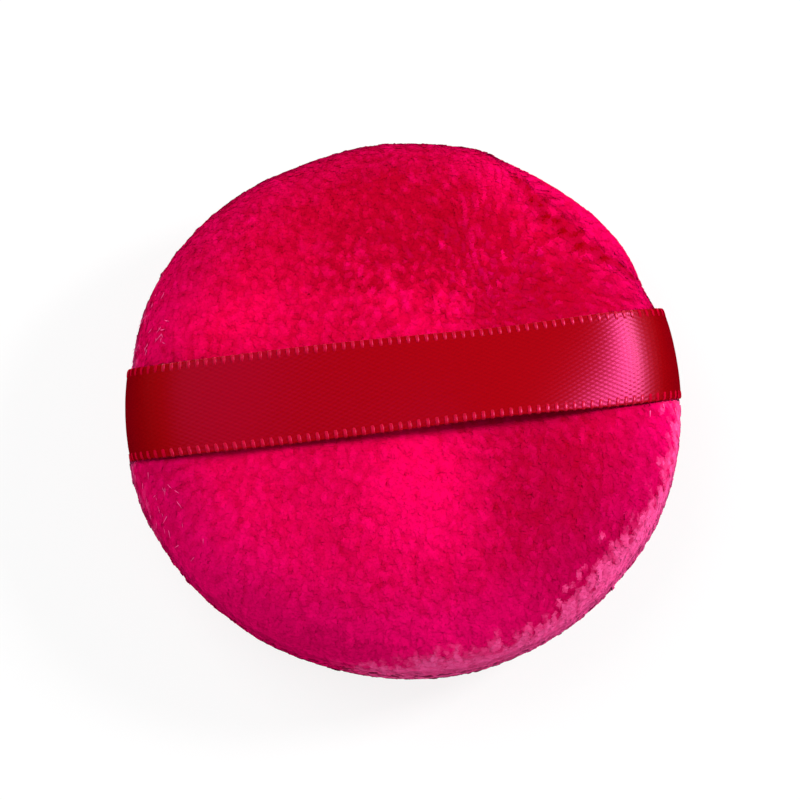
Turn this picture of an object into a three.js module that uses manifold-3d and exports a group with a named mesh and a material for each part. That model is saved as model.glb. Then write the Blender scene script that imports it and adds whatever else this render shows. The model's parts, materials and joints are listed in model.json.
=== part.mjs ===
// Round velour powder puff with a satin finger strap, lying on its back. Millimetres, +Z up.
// Z is the puff's own axis, Z = 0 is the surface it lies on, and X runs along the strap.
// Two velour discs are sewn right sides together round the rim with the strap's tails between
// them, turned through a gap, filled with a sponge disc, and the gap is whipped shut by hand.
import * as THREE from "three";
import { mergeVertices } from "three/addons/utils/BufferGeometryUtils.js";
import Module from "manifold-3d";

// Pad, measured over the pile
const PAD_RADIUS = 29;
const FRONT_RISE = 9.2; // rim seam up to the crown
const BACK_DROP = 8.6; // rim seam down to the resting patch
const REST_RADIUS = 12; // flat patch that the pad lies on
const CROWN_POWER = 2.5; // 2 is an ellipse, higher is squarer in section

// Velour covers
const COVER_THICKNESS = 1.5; // knitted ground and pile
const FOLD_INSIDE_RADIUS = 0.2; // inside of the fold where a cover turns in at the seam
const SEAM_ALLOWANCE = 4.5; // margin turned in behind the seam
const SEAM_GAP = 0.3; // between the two margins

// Sponge filling
const FOAM_CLEARANCE = 0.95;

// Satin strap
const RIBBON_WIDTH = 10;
const RIBBON_THICKNESS = 0.35;
const STRAP_STAND_OFF = 0.5; // strap's underside over the pile
const STRAP_OFF_CENTRE = 2.5; // the tails are sewn this far to one side of the middle, towards +Y
const STRAP_LEAN = 15; // degrees that the strap leans back over the middle as it rises
const TAIL_SHORT_OF_MARGIN = 0.5; // the tails end this far short of the covers' margins
const RIBBON_CLEARANCE = 0.3;

// Sewing thread
const THREAD_RADIUS = 0.18;
const THREAD_CLEARANCE = 0.2;
const STITCH_LENGTH = 6.3; // machine stitches of the rim seam
const STITCH_INSET = 1; // stitch line behind the fold

// Turning gap, closed by whip stitches, where the seam rolls up on to the front
const GAP_BEARING = 41; // degrees from +X towards +Y
const GAP_LENGTH = 20; // along the seam
const GAP_ROLL = 32; // degrees round the pad's section
const GAP_DRAWN_IN = 0.1; // the rim is pulled in here
const ROLL_FADE = 3.8; // the roll dies out this far past the gap's ends
const WHIP_PITCH = 1.8;
const WHIP_REACH = 0.5; // how far past the fullest part of the lip a whip stitch enters
const WHIP_DEPTH = 0.4; // how far behind the fold it crosses the seam

// Fineness of the curved surfaces
const ROUND_STEPS = 36;
const CROWN_STEPS = 6;
const LINING_STEPS = 4;
const LIP_STEPS = 3;
const STRAP_CROWN_STEPS = 12;
const STRAP_BEND_STEPS = 4;
const STRAP_WIDTH_STEPS = 2;
const WELD = 0.0001;

// Places that follow from the sizes above
const SEAM_Z = BACK_DROP;
const LIP_RADIUS = COVER_THICKNESS + FOLD_INSIDE_RADIUS;
const SEAM_RADIUS = PAD_RADIUS - LIP_RADIUS;
const MARGIN_RADIUS = SEAM_RADIUS - SEAM_ALLOWANCE;
const LIP_HEIGHT = SEAM_GAP / 2 + LIP_RADIUS; // the fullest part of each rim lip, from the seam
const STITCH_RADIUS = SEAM_RADIUS - STITCH_INSET;
const STITCH_HEIGHT = SEAM_GAP / 2 + COVER_THICKNESS + THREAD_CLEARANCE + THREAD_RADIUS;
const HOLE_RADIUS = THREAD_RADIUS + THREAD_CLEARANCE;
const WHIP_OUTSIDE = PAD_RADIUS + HOLE_RADIUS;
const GAP_ANGLE = THREE.MathUtils.degToRad(GAP_BEARING);
const GAP_HALF_ANGLE = GAP_LENGTH / 2 / SEAM_RADIUS;
const ROLL_HALF_ANGLE = GAP_HALF_ANGLE + ROLL_FADE / SEAM_RADIUS;

const wasm = await Module();
wasm.setup();

// A closed mesh as a solid that can be joined and cut.
function solidOf(geometry) {
  const plain = geometry.clone();
  plain.deleteAttribute("normal");
  plain.deleteAttribute("uv");
  const welded = mergeVertices(plain, WELD);
  return new wasm.Manifold(
    new wasm.Mesh({
      numProp: 3,
      vertProperties: new Float32Array(welded.attributes.position.array),
      triVerts: new Uint32Array(welded.index.array),
    }),
  );
}

// A solid back as a mesh.
function geometryOf(solid) {
  const mesh = solid.getMesh();
  const geometry = new THREE.BufferGeometry();
  geometry.setAttribute("position", new THREE.BufferAttribute(mesh.vertProperties, 3));
  geometry.setIndex(new THREE.BufferAttribute(mesh.triVerts, 1));
  geometry.computeVertexNormals();
  return geometry;
}

function cut(geometry, cutters) {
  return geometryOf(cutters.reduce((left, cutter) => left.subtract(cutter), solidOf(geometry)));
}

// How strongly the closed gap acts at a bearing: 1 in its middle, 0 past its ends.
function gapShare(bearing) {
  const apart = Math.atan2(Math.sin(bearing - GAP_ANGLE), Math.cos(bearing - GAP_ANGLE));
  const share = Math.min(1, Math.abs(apart) / ROLL_HALF_ANGLE);
  return (1 - share ** 3) ** 2;
}

// The same on the faceted cloth, straight from one facet's edge to the next.
function facetedShare(bearing) {
  const facet = (2 * Math.PI) / ROUND_STEPS;
  const edge = Math.floor(bearing / facet);
  const along = bearing / facet - edge;
  return THREE.MathUtils.lerp(gapShare(edge * facet), gapShare((edge + 1) * facet), along);
}

// Rolls the pad's section round itself at the closed gap, so that the seam climbs on to the front.
// A point keeps its level, its distance out from the pad's middle as a share of the crown's curve.
function rollAtGap(geometry) {
  const halfDepth = (FRONT_RISE + BACK_DROP) / 2;
  const level = (u, v) => (u ** CROWN_POWER + Math.abs(v) ** CROWN_POWER) ** (1 / CROWN_POWER);
  const place = geometry.attributes.position;
  for (let i = 0; i < place.count; i++) {
    const bearing = Math.atan2(place.getY(i), place.getX(i));
    const share = facetedShare(bearing);
    const u = Math.hypot(place.getX(i), place.getY(i)) / PAD_RADIUS;
    const v = (place.getZ(i) - SEAM_Z) / halfDepth;
    if (share === 0 || u === 0) continue;
    const slope = Math.atan2(v, u);
    const turned = slope + THREE.MathUtils.degToRad(GAP_ROLL) * share * Math.cos(slope) ** 2;
    const reach = level(u, v) / level(Math.cos(turned), Math.sin(turned));
    const drawnIn = GAP_DRAWN_IN * share * Math.cos(slope) ** 2 * u;
    const radius = PAD_RADIUS * reach * Math.cos(turned) - drawnIn;
    const height = SEAM_Z + halfDepth * reach * Math.sin(turned);
    place.setXYZ(i, radius * Math.cos(bearing), radius * Math.sin(bearing), height);
  }
  return geometry;
}

// Points of a crown from its rim up to the axis. A flat patch on its top stands for the last step.
// r = rim cos^(2/p) t and h = rimHeight + b sin^(2/p) t, a superellipse of power p.
function crown(rim, rimHeight, topHeight, flat, steps) {
  const full = (topHeight - rimHeight) / (1 - (flat / rim) ** CROWN_POWER) ** (1 / CROWN_POWER);
  const last = Math.acos((flat / rim) ** (CROWN_POWER / 2));
  const curved = flat > 0 ? steps - 1 : steps;
  const points = Array.from({ length: curved + 1 }, (_, i) => {
    const t = (last * i) / curved;
    const r = i === curved ? flat : rim * Math.cos(t) ** (2 / CROWN_POWER);
    return new THREE.Vector2(r, rimHeight + full * Math.sin(t) ** (2 / CROWN_POWER));
  });
  return flat > 0 ? [...points, new THREE.Vector2(0, topHeight)] : points;
}

// Points of a quarter round about (r, h), from straight below it to straight outwards.
function quarterRound(r, h, radius, steps) {
  return Array.from({ length: steps + 1 }, (_, i) => {
    const t = (Math.PI / 2) * (i / steps);
    return new THREE.Vector2(r + radius * Math.sin(t), h - radius * Math.cos(t));
  });
}

// Turns a profile of (radius, height from the seam) about Z. side is 1 for the front, -1 for the back.
function turned(profile, side) {
  const points = profile.map((p) => new THREE.Vector2(p.x, SEAM_Z + side * p.y));
  const geometry = new THREE.LatheGeometry(side > 0 ? points : points.reverse(), ROUND_STEPS);
  return rollAtGap(geometry.rotateX(Math.PI / 2));
}

// One cover: lining side from the axis out to the fold, margin, rim lip, and the pile side back in.
function coverProfile(rise, flat) {
  const lining = crown(
    PAD_RADIUS - COVER_THICKNESS,
    LIP_HEIGHT,
    rise - COVER_THICKNESS,
    flat,
    LINING_STEPS,
  );
  return [
    ...lining.reverse(),
    new THREE.Vector2(SEAM_RADIUS, LIP_HEIGHT - FOLD_INSIDE_RADIUS),
    new THREE.Vector2(MARGIN_RADIUS, LIP_HEIGHT - FOLD_INSIDE_RADIUS),
    new THREE.Vector2(MARGIN_RADIUS, SEAM_GAP / 2),
    ...quarterRound(SEAM_RADIUS, LIP_HEIGHT, LIP_RADIUS, LIP_STEPS).slice(0, -1),
    ...crown(PAD_RADIUS, LIP_HEIGHT, rise, flat, CROWN_STEPS),
  ];
}

// The part of a rising profile above a height.
function above(profile, height) {
  const next = profile.findIndex((p) => p.y > height);
  if (next === 0) return profile;
  const [low, high] = [profile[next - 1], profile[next]];
  return [low.clone().lerp(high, (height - low.y) / (high.y - low.y)), ...profile.slice(next)];
}

// Half of the sponge's section: the cover's lining, and a rim groove that takes margins and stitches.
function foamHalf(rise, flat) {
  const groove = STITCH_HEIGHT + THREAD_RADIUS + FOAM_CLEARANCE;
  const rim = PAD_RADIUS - COVER_THICKNESS - FOAM_CLEARANCE;
  const top = rise - COVER_THICKNESS - FOAM_CLEARANCE;
  return [
    new THREE.Vector2(MARGIN_RADIUS - FOAM_CLEARANCE, groove),
    ...above(crown(rim, LIP_HEIGHT, top, flat, LINING_STEPS), groove),
  ];
}

function foamGeometry() {
  const back = foamHalf(BACK_DROP, REST_RADIUS).map((p) => new THREE.Vector2(p.x, -p.y));
  return turned([...back.reverse(), ...foamHalf(FRONT_RISE, 0)], 1);
}

// A path of straight runs. Each corner's section faces halfway between its two runs.
class Polyline extends THREE.Curve {
  constructor(points) {
    super();
    this.points = points;
  }
  getUtoTmapping(u) {
    return u;
  }
  getPoint(t, target = new THREE.Vector3()) {
    const runs = this.points.length - 1;
    const i = Math.min(runs - 1, Math.floor(t * runs));
    return target.lerpVectors(this.points[i], this.points[i + 1], t * runs - i);
  }
  getTangent(t, target = new THREE.Vector3()) {
    const last = this.points.length - 1;
    const i = Math.round(t * last);
    const before = this.points[i].clone().sub(this.points[Math.max(0, i - 1)]).normalize();
    const after = this.points[Math.min(last, i + 1)].clone().sub(this.points[i]).normalize();
    return target.addVectors(before, after).normalize();
  }
}

// A four-sided strand along points, its flats radius from the middle.
function strand(points, radius) {
  const section = new THREE.Shape([
    new THREE.Vector2(-radius, -radius),
    new THREE.Vector2(radius, -radius),
    new THREE.Vector2(radius, radius),
    new THREE.Vector2(-radius, radius),
  ]);
  const path = new Polyline(points);
  return new THREE.ExtrudeGeometry(section, { steps: points.length - 1, extrudePath: path });
}

// A point at a bearing, a radius and a height from the seam.
function rimPoint(bearing, radius, height) {
  return new THREE.Vector3(radius * Math.cos(bearing), radius * Math.sin(bearing), SEAM_Z + height);
}

// Bearings of the machine stitches' needle holes, from one end of the gap round to the other.
function needleBearings() {
  const arc = 2 * Math.PI - 2 * GAP_HALF_ANGLE;
  const stitches = Math.floor((arc * STITCH_RADIUS) / STITCH_LENGTH);
  const first = GAP_ANGLE + GAP_HALF_ANGLE + (arc - (stitches * STITCH_LENGTH) / STITCH_RADIUS) / 2;
  return Array.from({ length: stitches + 1 }, (_, i) => first + (i * STITCH_LENGTH) / STITCH_RADIUS);
}

// The running thread goes through each hole in turn, over one margin and then under the other.
function runningPath(bearings) {
  const straight = STITCH_HEIGHT - HOLE_RADIUS;
  const bend = HOLE_RADIUS / STITCH_RADIUS;
  return bearings.flatMap((bearing, i) => {
    const side = i % 2 === 0 ? 1 : -1;
    const through = [-side, side].map((end) => rimPoint(bearing, STITCH_RADIUS, end * straight));
    if (i === bearings.length - 1) return through;
    const next = bearings[i + 1];
    const run = [bearing + bend, (bearing + next) / 2, next - bend];
    return [...through, ...run.map((along) => rimPoint(along, STITCH_RADIUS, side * STITCH_HEIGHT))];
  });
}

function needleHole(bearing) {
  const ends = [1, -1].map((side) => rimPoint(bearing, STITCH_RADIUS, side * STITCH_HEIGHT));
  return solidOf(rollAtGap(strand(ends, HOLE_RADIUS)));
}

// A whip stitch bites through both lips at one bearing, out and in past their fullest parts.
function whipBite(bearing) {
  const height = LIP_HEIGHT + WHIP_REACH;
  return [
    rimPoint(bearing, WHIP_OUTSIDE, height),
    rimPoint(bearing, SEAM_RADIUS - WHIP_DEPTH, 0),
    rimPoint(bearing, WHIP_OUTSIDE, -height),
  ];
}

// The whipping thread crosses over the seam from each bite to the next.
function whippedPath(bearings) {
  return bearings.flatMap((bearing, i) => {
    if (i === 0) return whipBite(bearing);
    const over = rimPoint((bearings[i - 1] + bearing) / 2, WHIP_OUTSIDE, 0);
    return [over, ...whipBite(bearing)];
  });
}

function whipBearings() {
  const count = Math.floor(GAP_LENGTH / WHIP_PITCH);
  const middle = (count - 1) / 2;
  return Array.from({ length: count }, (_, i) => GAP_ANGLE + ((i - middle) * WHIP_PITCH) / SEAM_RADIUS);
}

// Half of the strap's middle line: tail between the margins, bend round the rim lip, then the crown.
function strapHalf() {
  const rim = PAD_RADIUS + STRAP_STAND_OFF + RIBBON_THICKNESS / 2;
  const top = FRONT_RISE + STRAP_STAND_OFF + RIBBON_THICKNESS / 2;
  const bend = rim - SEAM_RADIUS;
  const tail = new THREE.Vector2(MARGIN_RADIUS + TAIL_SHORT_OF_MARGIN, 0);
  const round = quarterRound(SEAM_RADIUS, bend, bend, STRAP_BEND_STEPS);
  return [tail, ...round.slice(0, -1), ...crown(rim, bend, top, 0, STRAP_CROWN_STEPS)];
}

// Leans the strap back over the middle as it rises, and brings its ends in with the pad's round edge.
function laidOnPad(band) {
  const lean = Math.tan(THREE.MathUtils.degToRad(STRAP_LEAN));
  const place = band.attributes.position;
  for (let i = 0; i < place.count; i++) {
    const y = STRAP_OFF_CENTRE + place.getY(i) - lean * place.getZ(i);
    const shortened = Math.sqrt(1 - (y / PAD_RADIUS) ** 2);
    place.setXYZ(i, place.getX(i) * shortened, y, SEAM_Z + place.getZ(i));
  }
  return band;
}

// The strap as a band of a thickness and width about its middle line.
function strapGeometry(thickness, width, tailExtra) {
  const half = strapHalf();
  half[0].x -= tailExtra;
  const left = half.slice(0, -1).map((p) => new THREE.Vector2(-p.x, p.y));
  const line = [...half, ...left.reverse()];
  const across = line.map((p, i) => {
    const along = line[Math.min(line.length - 1, i + 1)].clone().sub(line[Math.max(0, i - 1)]);
    return new THREE.Vector2(-along.y, along.x).normalize().multiplyScalar(thickness / 2);
  });
  const inner = line.map((p, i) => p.clone().add(across[i]));
  const outer = line.map((p, i) => p.clone().sub(across[i]));
  const outline = new THREE.Shape([...outer, ...inner.reverse()]);
  const options = { depth: width, steps: STRAP_WIDTH_STEPS, bevelEnabled: false };
  const band = new THREE.ExtrudeGeometry(outline, options);
  return rollAtGap(laidOnPad(band.rotateX(Math.PI / 2).translate(0, width / 2, 0)));
}

const velour = { color: 0xe60146, roughness: 0.95, metalness: 0 };
const satin = { color: 0xb8052a, roughness: 0.4, metalness: 0 };
const sponge = { color: 0xf2dfe2, roughness: 0.9, metalness: 0 };
const thread = { color: 0xc4063c, roughness: 0.7, metalness: 0 };

const needles = needleBearings();
const needleHoles = needles.map(needleHole);
const whips = whipBearings();
const whipHoles = whips.map((bearing) => solidOf(rollAtGap(strand(whipBite(bearing), HOLE_RADIUS))));
const strapRoom = solidOf(
  strapGeometry(
    RIBBON_THICKNESS + 2 * RIBBON_CLEARANCE,
    RIBBON_WIDTH + 2 * RIBBON_CLEARANCE,
    RIBBON_CLEARANCE,
  ),
);
const coverCuts = [strapRoom, ...needleHoles, ...whipHoles];

const puff = new THREE.Group();

function addPiece(name, geometry, finish) {
  const piece = new THREE.Mesh(geometry, new THREE.MeshStandardMaterial(finish));
  piece.name = name;
  puff.add(piece);
}

addPiece("front_cover", cut(turned(coverProfile(FRONT_RISE, 0), 1), coverCuts), velour);
addPiece("back_cover", cut(turned(coverProfile(BACK_DROP, REST_RADIUS), -1), coverCuts), velour);
addPiece("foam_core", foamGeometry(), sponge);
addPiece("ribbon_strap", cut(strapGeometry(RIBBON_THICKNESS, RIBBON_WIDTH, 0), needleHoles), satin);
addPiece("rim_seam_thread", rollAtGap(strand(runningPath(needles), THREAD_RADIUS)), thread);
addPiece("closing_thread", rollAtGap(strand(whippedPath(whips), THREAD_RADIUS)), thread);

export default puff;
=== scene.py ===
# %% [markdown]
# # A velour powder puff with a satin finger strap
#
# The puff is two discs of velour sewn together round the rim, with a soft sponge inside and a satin
# ribbon across the front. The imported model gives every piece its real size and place. This lesson
# dresses it: cloth, pile, ribbon and thread are surfaces worked out with numpy, in the same frame.

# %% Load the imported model
import json
import math

import bpy
import numpy as np
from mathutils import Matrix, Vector


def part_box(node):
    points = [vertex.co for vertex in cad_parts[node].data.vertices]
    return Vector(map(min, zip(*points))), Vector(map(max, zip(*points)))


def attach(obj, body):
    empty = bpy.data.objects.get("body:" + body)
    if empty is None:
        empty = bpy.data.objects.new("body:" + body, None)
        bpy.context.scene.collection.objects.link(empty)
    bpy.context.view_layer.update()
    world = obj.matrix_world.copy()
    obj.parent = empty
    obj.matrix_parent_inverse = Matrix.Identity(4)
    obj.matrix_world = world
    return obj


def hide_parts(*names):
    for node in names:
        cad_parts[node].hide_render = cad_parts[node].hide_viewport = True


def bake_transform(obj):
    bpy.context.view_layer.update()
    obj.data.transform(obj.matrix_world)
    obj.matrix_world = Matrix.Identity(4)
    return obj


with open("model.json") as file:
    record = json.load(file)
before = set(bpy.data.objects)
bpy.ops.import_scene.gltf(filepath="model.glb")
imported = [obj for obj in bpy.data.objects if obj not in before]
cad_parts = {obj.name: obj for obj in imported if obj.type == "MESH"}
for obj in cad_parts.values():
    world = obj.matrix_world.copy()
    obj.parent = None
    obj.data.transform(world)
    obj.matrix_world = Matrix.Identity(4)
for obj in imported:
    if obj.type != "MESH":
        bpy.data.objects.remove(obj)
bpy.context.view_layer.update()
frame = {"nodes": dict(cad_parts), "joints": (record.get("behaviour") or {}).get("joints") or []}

MM = 0.001  # the sizes below are millimetres, and Blender's are metres

# %% [markdown]
# ## Sizes
#
# The pad's radius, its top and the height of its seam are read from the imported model, so the cloth
# always fits it. The values that the model doesn't state by itself, such as how round the crown is,
# are repeated here in millimetres.

# %% Sizes of the pad
FRONT_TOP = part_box("front_cover")[1]
PAD_RADIUS = FRONT_TOP.y / MM
TOP_Z = FRONT_TOP.z / MM
SEAM_Z = frame["joints"][0]["deforming_nodes"][0]["fixed_end_z_m"] / MM
FRONT_RISE = TOP_Z - SEAM_Z
BACK_DROP = SEAM_Z
REST_RADIUS = 12.0  # the flat patch that the pad lies on
CROWN_POWER = 2.5  # 2 is an ellipse, higher is squarer
PILE = 0.5  # height of the pile over the knitted ground
COVER_THICKNESS = 1.5  # knitted ground and pile
LIP_RADIUS = 1.1  # rounding of each cover where it turns in at the seam
SEAM_GAP = 0.3
SEAM_ALLOWANCE = 4.5
SEAM_RADIUS = PAD_RADIUS - LIP_RADIUS
MARGIN_RADIUS = SEAM_RADIUS - SEAM_ALLOWANCE
LIP_HEIGHT = SEAM_GAP / 2 + LIP_RADIUS
print(f"pad radius {PAD_RADIUS:.2f}, seam at {SEAM_Z:.2f}, top at {TOP_Z:.2f} mm")

# %% Sizes of the hand-closed gap
GAP_ANGLE = math.radians(41)
GAP_LENGTH = 20.0
GAP_ROLL = math.radians(32)  # the seam rolls this far up on to the front here
GAP_DRAWN_IN = 0.1
ROLL_FADE = 3.8  # the roll dies out this far past the gap's ends
ROLL_HALF_ANGLE = (GAP_LENGTH / 2 + ROLL_FADE) / SEAM_RADIUS
LIPS_DRAWN = 0.8  # how far the stitches draw the lips level with the cloth round them
STITCH_PITCH = 1.4
STITCHES = int(GAP_LENGTH / STITCH_PITCH)
STITCH_BEARINGS = GAP_ANGLE + (np.arange(STITCHES) - (STITCHES - 1) / 2) * STITCH_PITCH / SEAM_RADIUS
print(f"{STITCHES} closing stitches")

# %% [markdown]
# ## From arrays to meshes
#
# Every piece below ends as an array of points and one or more arrays of faces. One helper puts them
# into a mesh with foreach_set, which copies whole arrays and so stays fast with many points. Values
# kept with each point, such as how light the nap looks, become attributes that materials can read.

# %% A mesh from arrays
def piece_from(name, points, faces, values=None, bake_uv=None, normals=None, material=None):
    """One object from points in mm, a list of face arrays, values by attribute name, a map, normals
    at the points where they aren't the mesh's own, and each face's material where it has several."""
    mesh = bpy.data.meshes.new(name)
    corners = np.concatenate([f.ravel() for f in faces]).astype(np.int32)
    sizes = np.concatenate([np.full(len(f), f.shape[1]) for f in faces])
    mesh.vertices.add(len(points))
    mesh.vertices.foreach_set("co", (points * MM).astype(np.float32).ravel())
    mesh.loops.add(len(corners))
    mesh.loops.foreach_set("vertex_index", corners)
    mesh.polygons.add(len(sizes))
    mesh.polygons.foreach_set("loop_start", (np.cumsum(sizes) - sizes).astype(np.int32))
    if material is not None:
        mesh.polygons.foreach_set("material_index", material.astype(np.int32))
    for key, value in (values or {}).items():
        mesh.attributes.new(key, "FLOAT", "POINT").data.foreach_set("value", value.astype(np.float32))
    if bake_uv is not None:
        layer = mesh.uv_layers.new(name="OFBake")
        layer.data.foreach_set("uv", bake_uv[corners].astype(np.float32).ravel())
    mesh.update(calc_edges=True)
    mesh.shade_smooth()
    if normals is not None:
        mesh.normals_split_custom_set_from_vertices(normals)
    piece = bpy.data.objects.new(name, mesh)
    bpy.context.scene.collection.objects.link(piece)
    print(f"{name}: {len(points)} points, {int((sizes - 2).sum())} triangles")
    return piece


def grid_faces(rows, columns, wrap=False):
    """Quads of a grid of points numbered row by row. wrap joins the last column to the first."""
    i, j = np.meshgrid(np.arange(rows - 1), np.arange(columns if wrap else columns - 1), indexing="ij")
    k = (j + 1) % columns
    quads = [i * columns + j, i * columns + k, (i + 1) * columns + k, (i + 1) * columns + j]
    return np.stack(quads, axis=-1).reshape(-1, 4)


def tube_faces(rows, columns):
    """Quads of a tube of rings, numbered ring by ring, and its two ends with one face each."""
    ring = np.arange(columns)
    ends = np.stack([ring[::-1], ring + (rows - 1) * columns])
    return [grid_faces(rows, columns, wrap=True), ends]

# %% [markdown]
# ## The cover's surface
#
# A velour cover is a disc of cloth, so it is made as one: a square grid is folded into a disc and the
# disc is laid over the pad. A polar grid would crowd its points in the middle. The pad's section is
# a superellipse that turns in at a small round lip, where the seam holds it.

# %% The section, by length along the cloth
CROWN_STEPS, LIP_STEPS = 400, 40


def section(side, depth):
    """(length, radius, height from the seam) along one cover's section, from the middle to the seam.

    Crown: r = R cos^(2/p) t, h = LIP_HEIGHT + H sin^(2/p) t, flat where the pad rests. Then a quarter
    round lip, then straight in to the seam. depth is how far below the pile's tips it lies."""
    rim = PAD_RADIUS - depth
    top = (FRONT_RISE if side > 0 else BACK_DROP) - depth - LIP_HEIGHT
    flat = 0.0 if side > 0 else REST_RADIUS
    full = top / (1 - (flat / rim) ** CROWN_POWER) ** (1 / CROWN_POWER)
    t = np.linspace(math.pi / 2, 0, CROWN_STEPS)
    r = rim * np.abs(np.cos(t)) ** (2 / CROWN_POWER)
    h = LIP_HEIGHT + np.minimum(full * np.sin(t) ** (2 / CROWN_POWER), top)
    q = np.linspace(0, math.pi / 2, LIP_STEPS)[1:]
    lip = LIP_RADIUS - depth
    r = np.concatenate([r, SEAM_RADIUS + lip * np.cos(q), [SEAM_RADIUS]])
    h = np.concatenate([h, LIP_HEIGHT - lip * np.sin(q), [SEAM_GAP / 2]])
    length = np.concatenate([[0], np.cumsum(np.hypot(np.diff(r), np.diff(h)))])
    return length, r, h


SECTIONS = {side: section(side, PILE) for side in (1, -1)}
CLOTH_RADIUS = {side: SECTIONS[side][0][-1] for side in (1, -1)}
print("cloth radius, mm:", {side: round(value, 2) for side, value in CLOTH_RADIUS.items()})

# %% The roll of the section at the closed gap
def gap_share(bearing):
    """How strongly the closed gap acts at a bearing: 1 in its middle, 0 past its ends."""
    apart = np.abs(np.angle(np.exp(1j * (bearing - GAP_ANGLE))))
    return (1 - np.minimum(1, apart / ROLL_HALF_ANGLE) ** 3) ** 2


def roll_at_gap(bearing, r, h):
    """Turns the section round itself near the gap. A point keeps its level, its distance out from
    the pad's middle as a share of the superellipse, and its angle grows by roll * share * cos^2."""
    share = gap_share(bearing)
    half_depth = (FRONT_RISE + BACK_DROP) / 2
    u, v = r / PAD_RADIUS, h / half_depth

    def level(across, up):
        return (np.abs(across) ** CROWN_POWER + np.abs(up) ** CROWN_POWER) ** (1 / CROWN_POWER)

    slope = np.arctan2(v, u)
    turned = slope + GAP_ROLL * share * np.cos(slope) ** 2
    reach = level(u, v) / level(np.cos(turned), np.sin(turned))
    drawn_in = GAP_DRAWN_IN * share * np.cos(slope) ** 2 * u
    return PAD_RADIUS * reach * np.cos(turned) - drawn_in, half_depth * reach * np.sin(turned)


print(f"the seam rolls up by {math.degrees(GAP_ROLL):.0f} degrees, {GAP_LENGTH:.0f} mm along the rim")

# %% The outline, and the cover's ground
def bells(bearing, rows):
    """Sum of strength * exp(-(apart / reach)^2) over rows of (bearing, reach, strength), in degrees."""
    apart = [(np.angle(np.exp(1j * (bearing - math.radians(at)))), reach, s) for at, reach, s in rows]
    return sum(s * np.exp(-((np.degrees(away) / reach) ** 2)) for away, reach, s in apart)


OUTLINE = [
    # bearing, reach, and how far the sewn edge strays outwards from a circle
    (17, 9, -0.60),
    (65, 7, 0.40),
    (103, 14, -0.40),
    (141, 14, 0.35),
    (168, 9, -0.40),
    (193, 12, 0.28),
    (-112, 20, -0.40),
    (-32, 14, 0.15),
]


def around(bearing, r, h):
    """Points of the pad at a bearing, a radius and a height from the seam, rolled at the gap.

    The outline's strays fade inwards as (r / R)^4."""
    r, h = roll_at_gap(bearing, r, h)
    r = r + bells(bearing, OUTLINE) * (r / PAD_RADIUS) ** 4
    return np.stack([r * np.cos(bearing), r * np.sin(bearing), SEAM_Z + h], axis=-1)


def cover_base(side, x, y):
    """Points of a cover's ground at places on the unrolled cloth, before it is stuffed.

    The hand stitches draw the two lips at the gap level with the cloth round them."""
    length, r, h = SECTIONS[side]
    s, bearing = np.hypot(x, y), np.arctan2(y, x)
    r, h = np.interp(s, length, r), np.interp(s, length, h)
    drawn = LIPS_DRAWN * gap_share(bearing) * (h < LIP_HEIGHT)
    return around(bearing, r + drawn * (PAD_RADIUS - PILE - r), side * h)


EDGE_STRAYS = bells(np.linspace(-math.pi, math.pi, 360), OUTLINE)
print(f"the sewn edge strays {EDGE_STRAYS.min():.2f} to {EDGE_STRAYS.max():.2f} mm from a circle")

# %% [markdown]
# ## Fields
#
# A field is a grid of values over a square, such as the lean of the nap or how far the stuffing has
# pushed the cloth out. It is read between its points with quadratic spline weights, because these
# change smoothly from cell to cell, where straight weights would leave creases.

# %% Reading a field
def sample(field, u, v):
    """A field's value at places in -1 to 1, from its 3 x 3 nearest points with spline weights."""
    n = field.shape[0] - 1
    spots, weights = [], []
    for place in (u, v):
        at = np.clip((place + 1) / 2, 0, 1) * n
        near = np.rint(at).astype(int)
        t = at - near
        spots.append([np.clip(near + k, 0, n) for k in (-1, 0, 1)])
        weights.append([0.5 * (0.5 - t) ** 2, 0.75 - t**2, 0.5 * (0.5 + t) ** 2])
    extra = (1,) * (field.ndim - 2)
    return sum(
        field[spots[0][a], spots[1][b]] * (weights[0][a] * weights[1][b]).reshape(u.shape + extra)
        for a in range(3)
        for b in range(3)
    )

# %% A square folded into a disc
def square_to_disc(a, b):
    """Each square ring |a| or |b| = k becomes the circle of radius k, with areas kept in step."""
    wide = np.abs(a) >= np.abs(b)
    far, near = np.where(wide, a, b), np.where(wide, b, a)
    ratio = np.divide(near, far, out=np.zeros_like(far), where=far != 0)
    angle = np.where(wide, math.pi / 4 * ratio, math.pi / 2 - math.pi / 4 * ratio)
    return far * np.cos(angle), far * np.sin(angle)


def disc_to_square(x, y):
    """The way back: the ring's radius is one coordinate, and the angle gives the other."""
    wide = np.abs(x) >= np.abs(y)
    far, near = np.where(wide, x, y), np.where(wide, y, x)
    ratio = np.divide(near, far, out=np.zeros_like(far), where=far != 0)
    ring = np.sign(far) * np.hypot(x, y)
    other = ring * 4 / math.pi * np.arctan(ratio)
    return np.where(wide, ring, other), np.where(wide, other, ring)


def disc_grid(cells, radius):
    """Places on a disc of a radius, from a square grid, row by row."""
    a, b = np.meshgrid(*[np.linspace(-1, 1, cells + 1)] * 2, indexing="ij")
    x, y = square_to_disc(a.ravel(), b.ravel())
    return x * radius, y * radius


def rim_numbers(cells):
    """Numbers of the grid's edge points, once round the disc."""
    n, k = cells + 1, np.arange(cells)
    return np.concatenate([k * n, cells * n + k, (cells - k) * n + cells, cells - k])

# %% [markdown]
# ## Stuffing the bag
#
# The sponge pushes the two covers out, and the cloth, which is cut a little large, takes up soft
# hollows and swells. Sculpting them by hand would look made up, so a coarse copy of both covers,
# joined at the seam, is blown up by Blender's cloth solver. It is simulated at ten times its size,
# because the solver's own thickness suits larger things. How far each point moved becomes a field
# that the fine cloth follows, and the coarse bag is thrown away.

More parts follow.
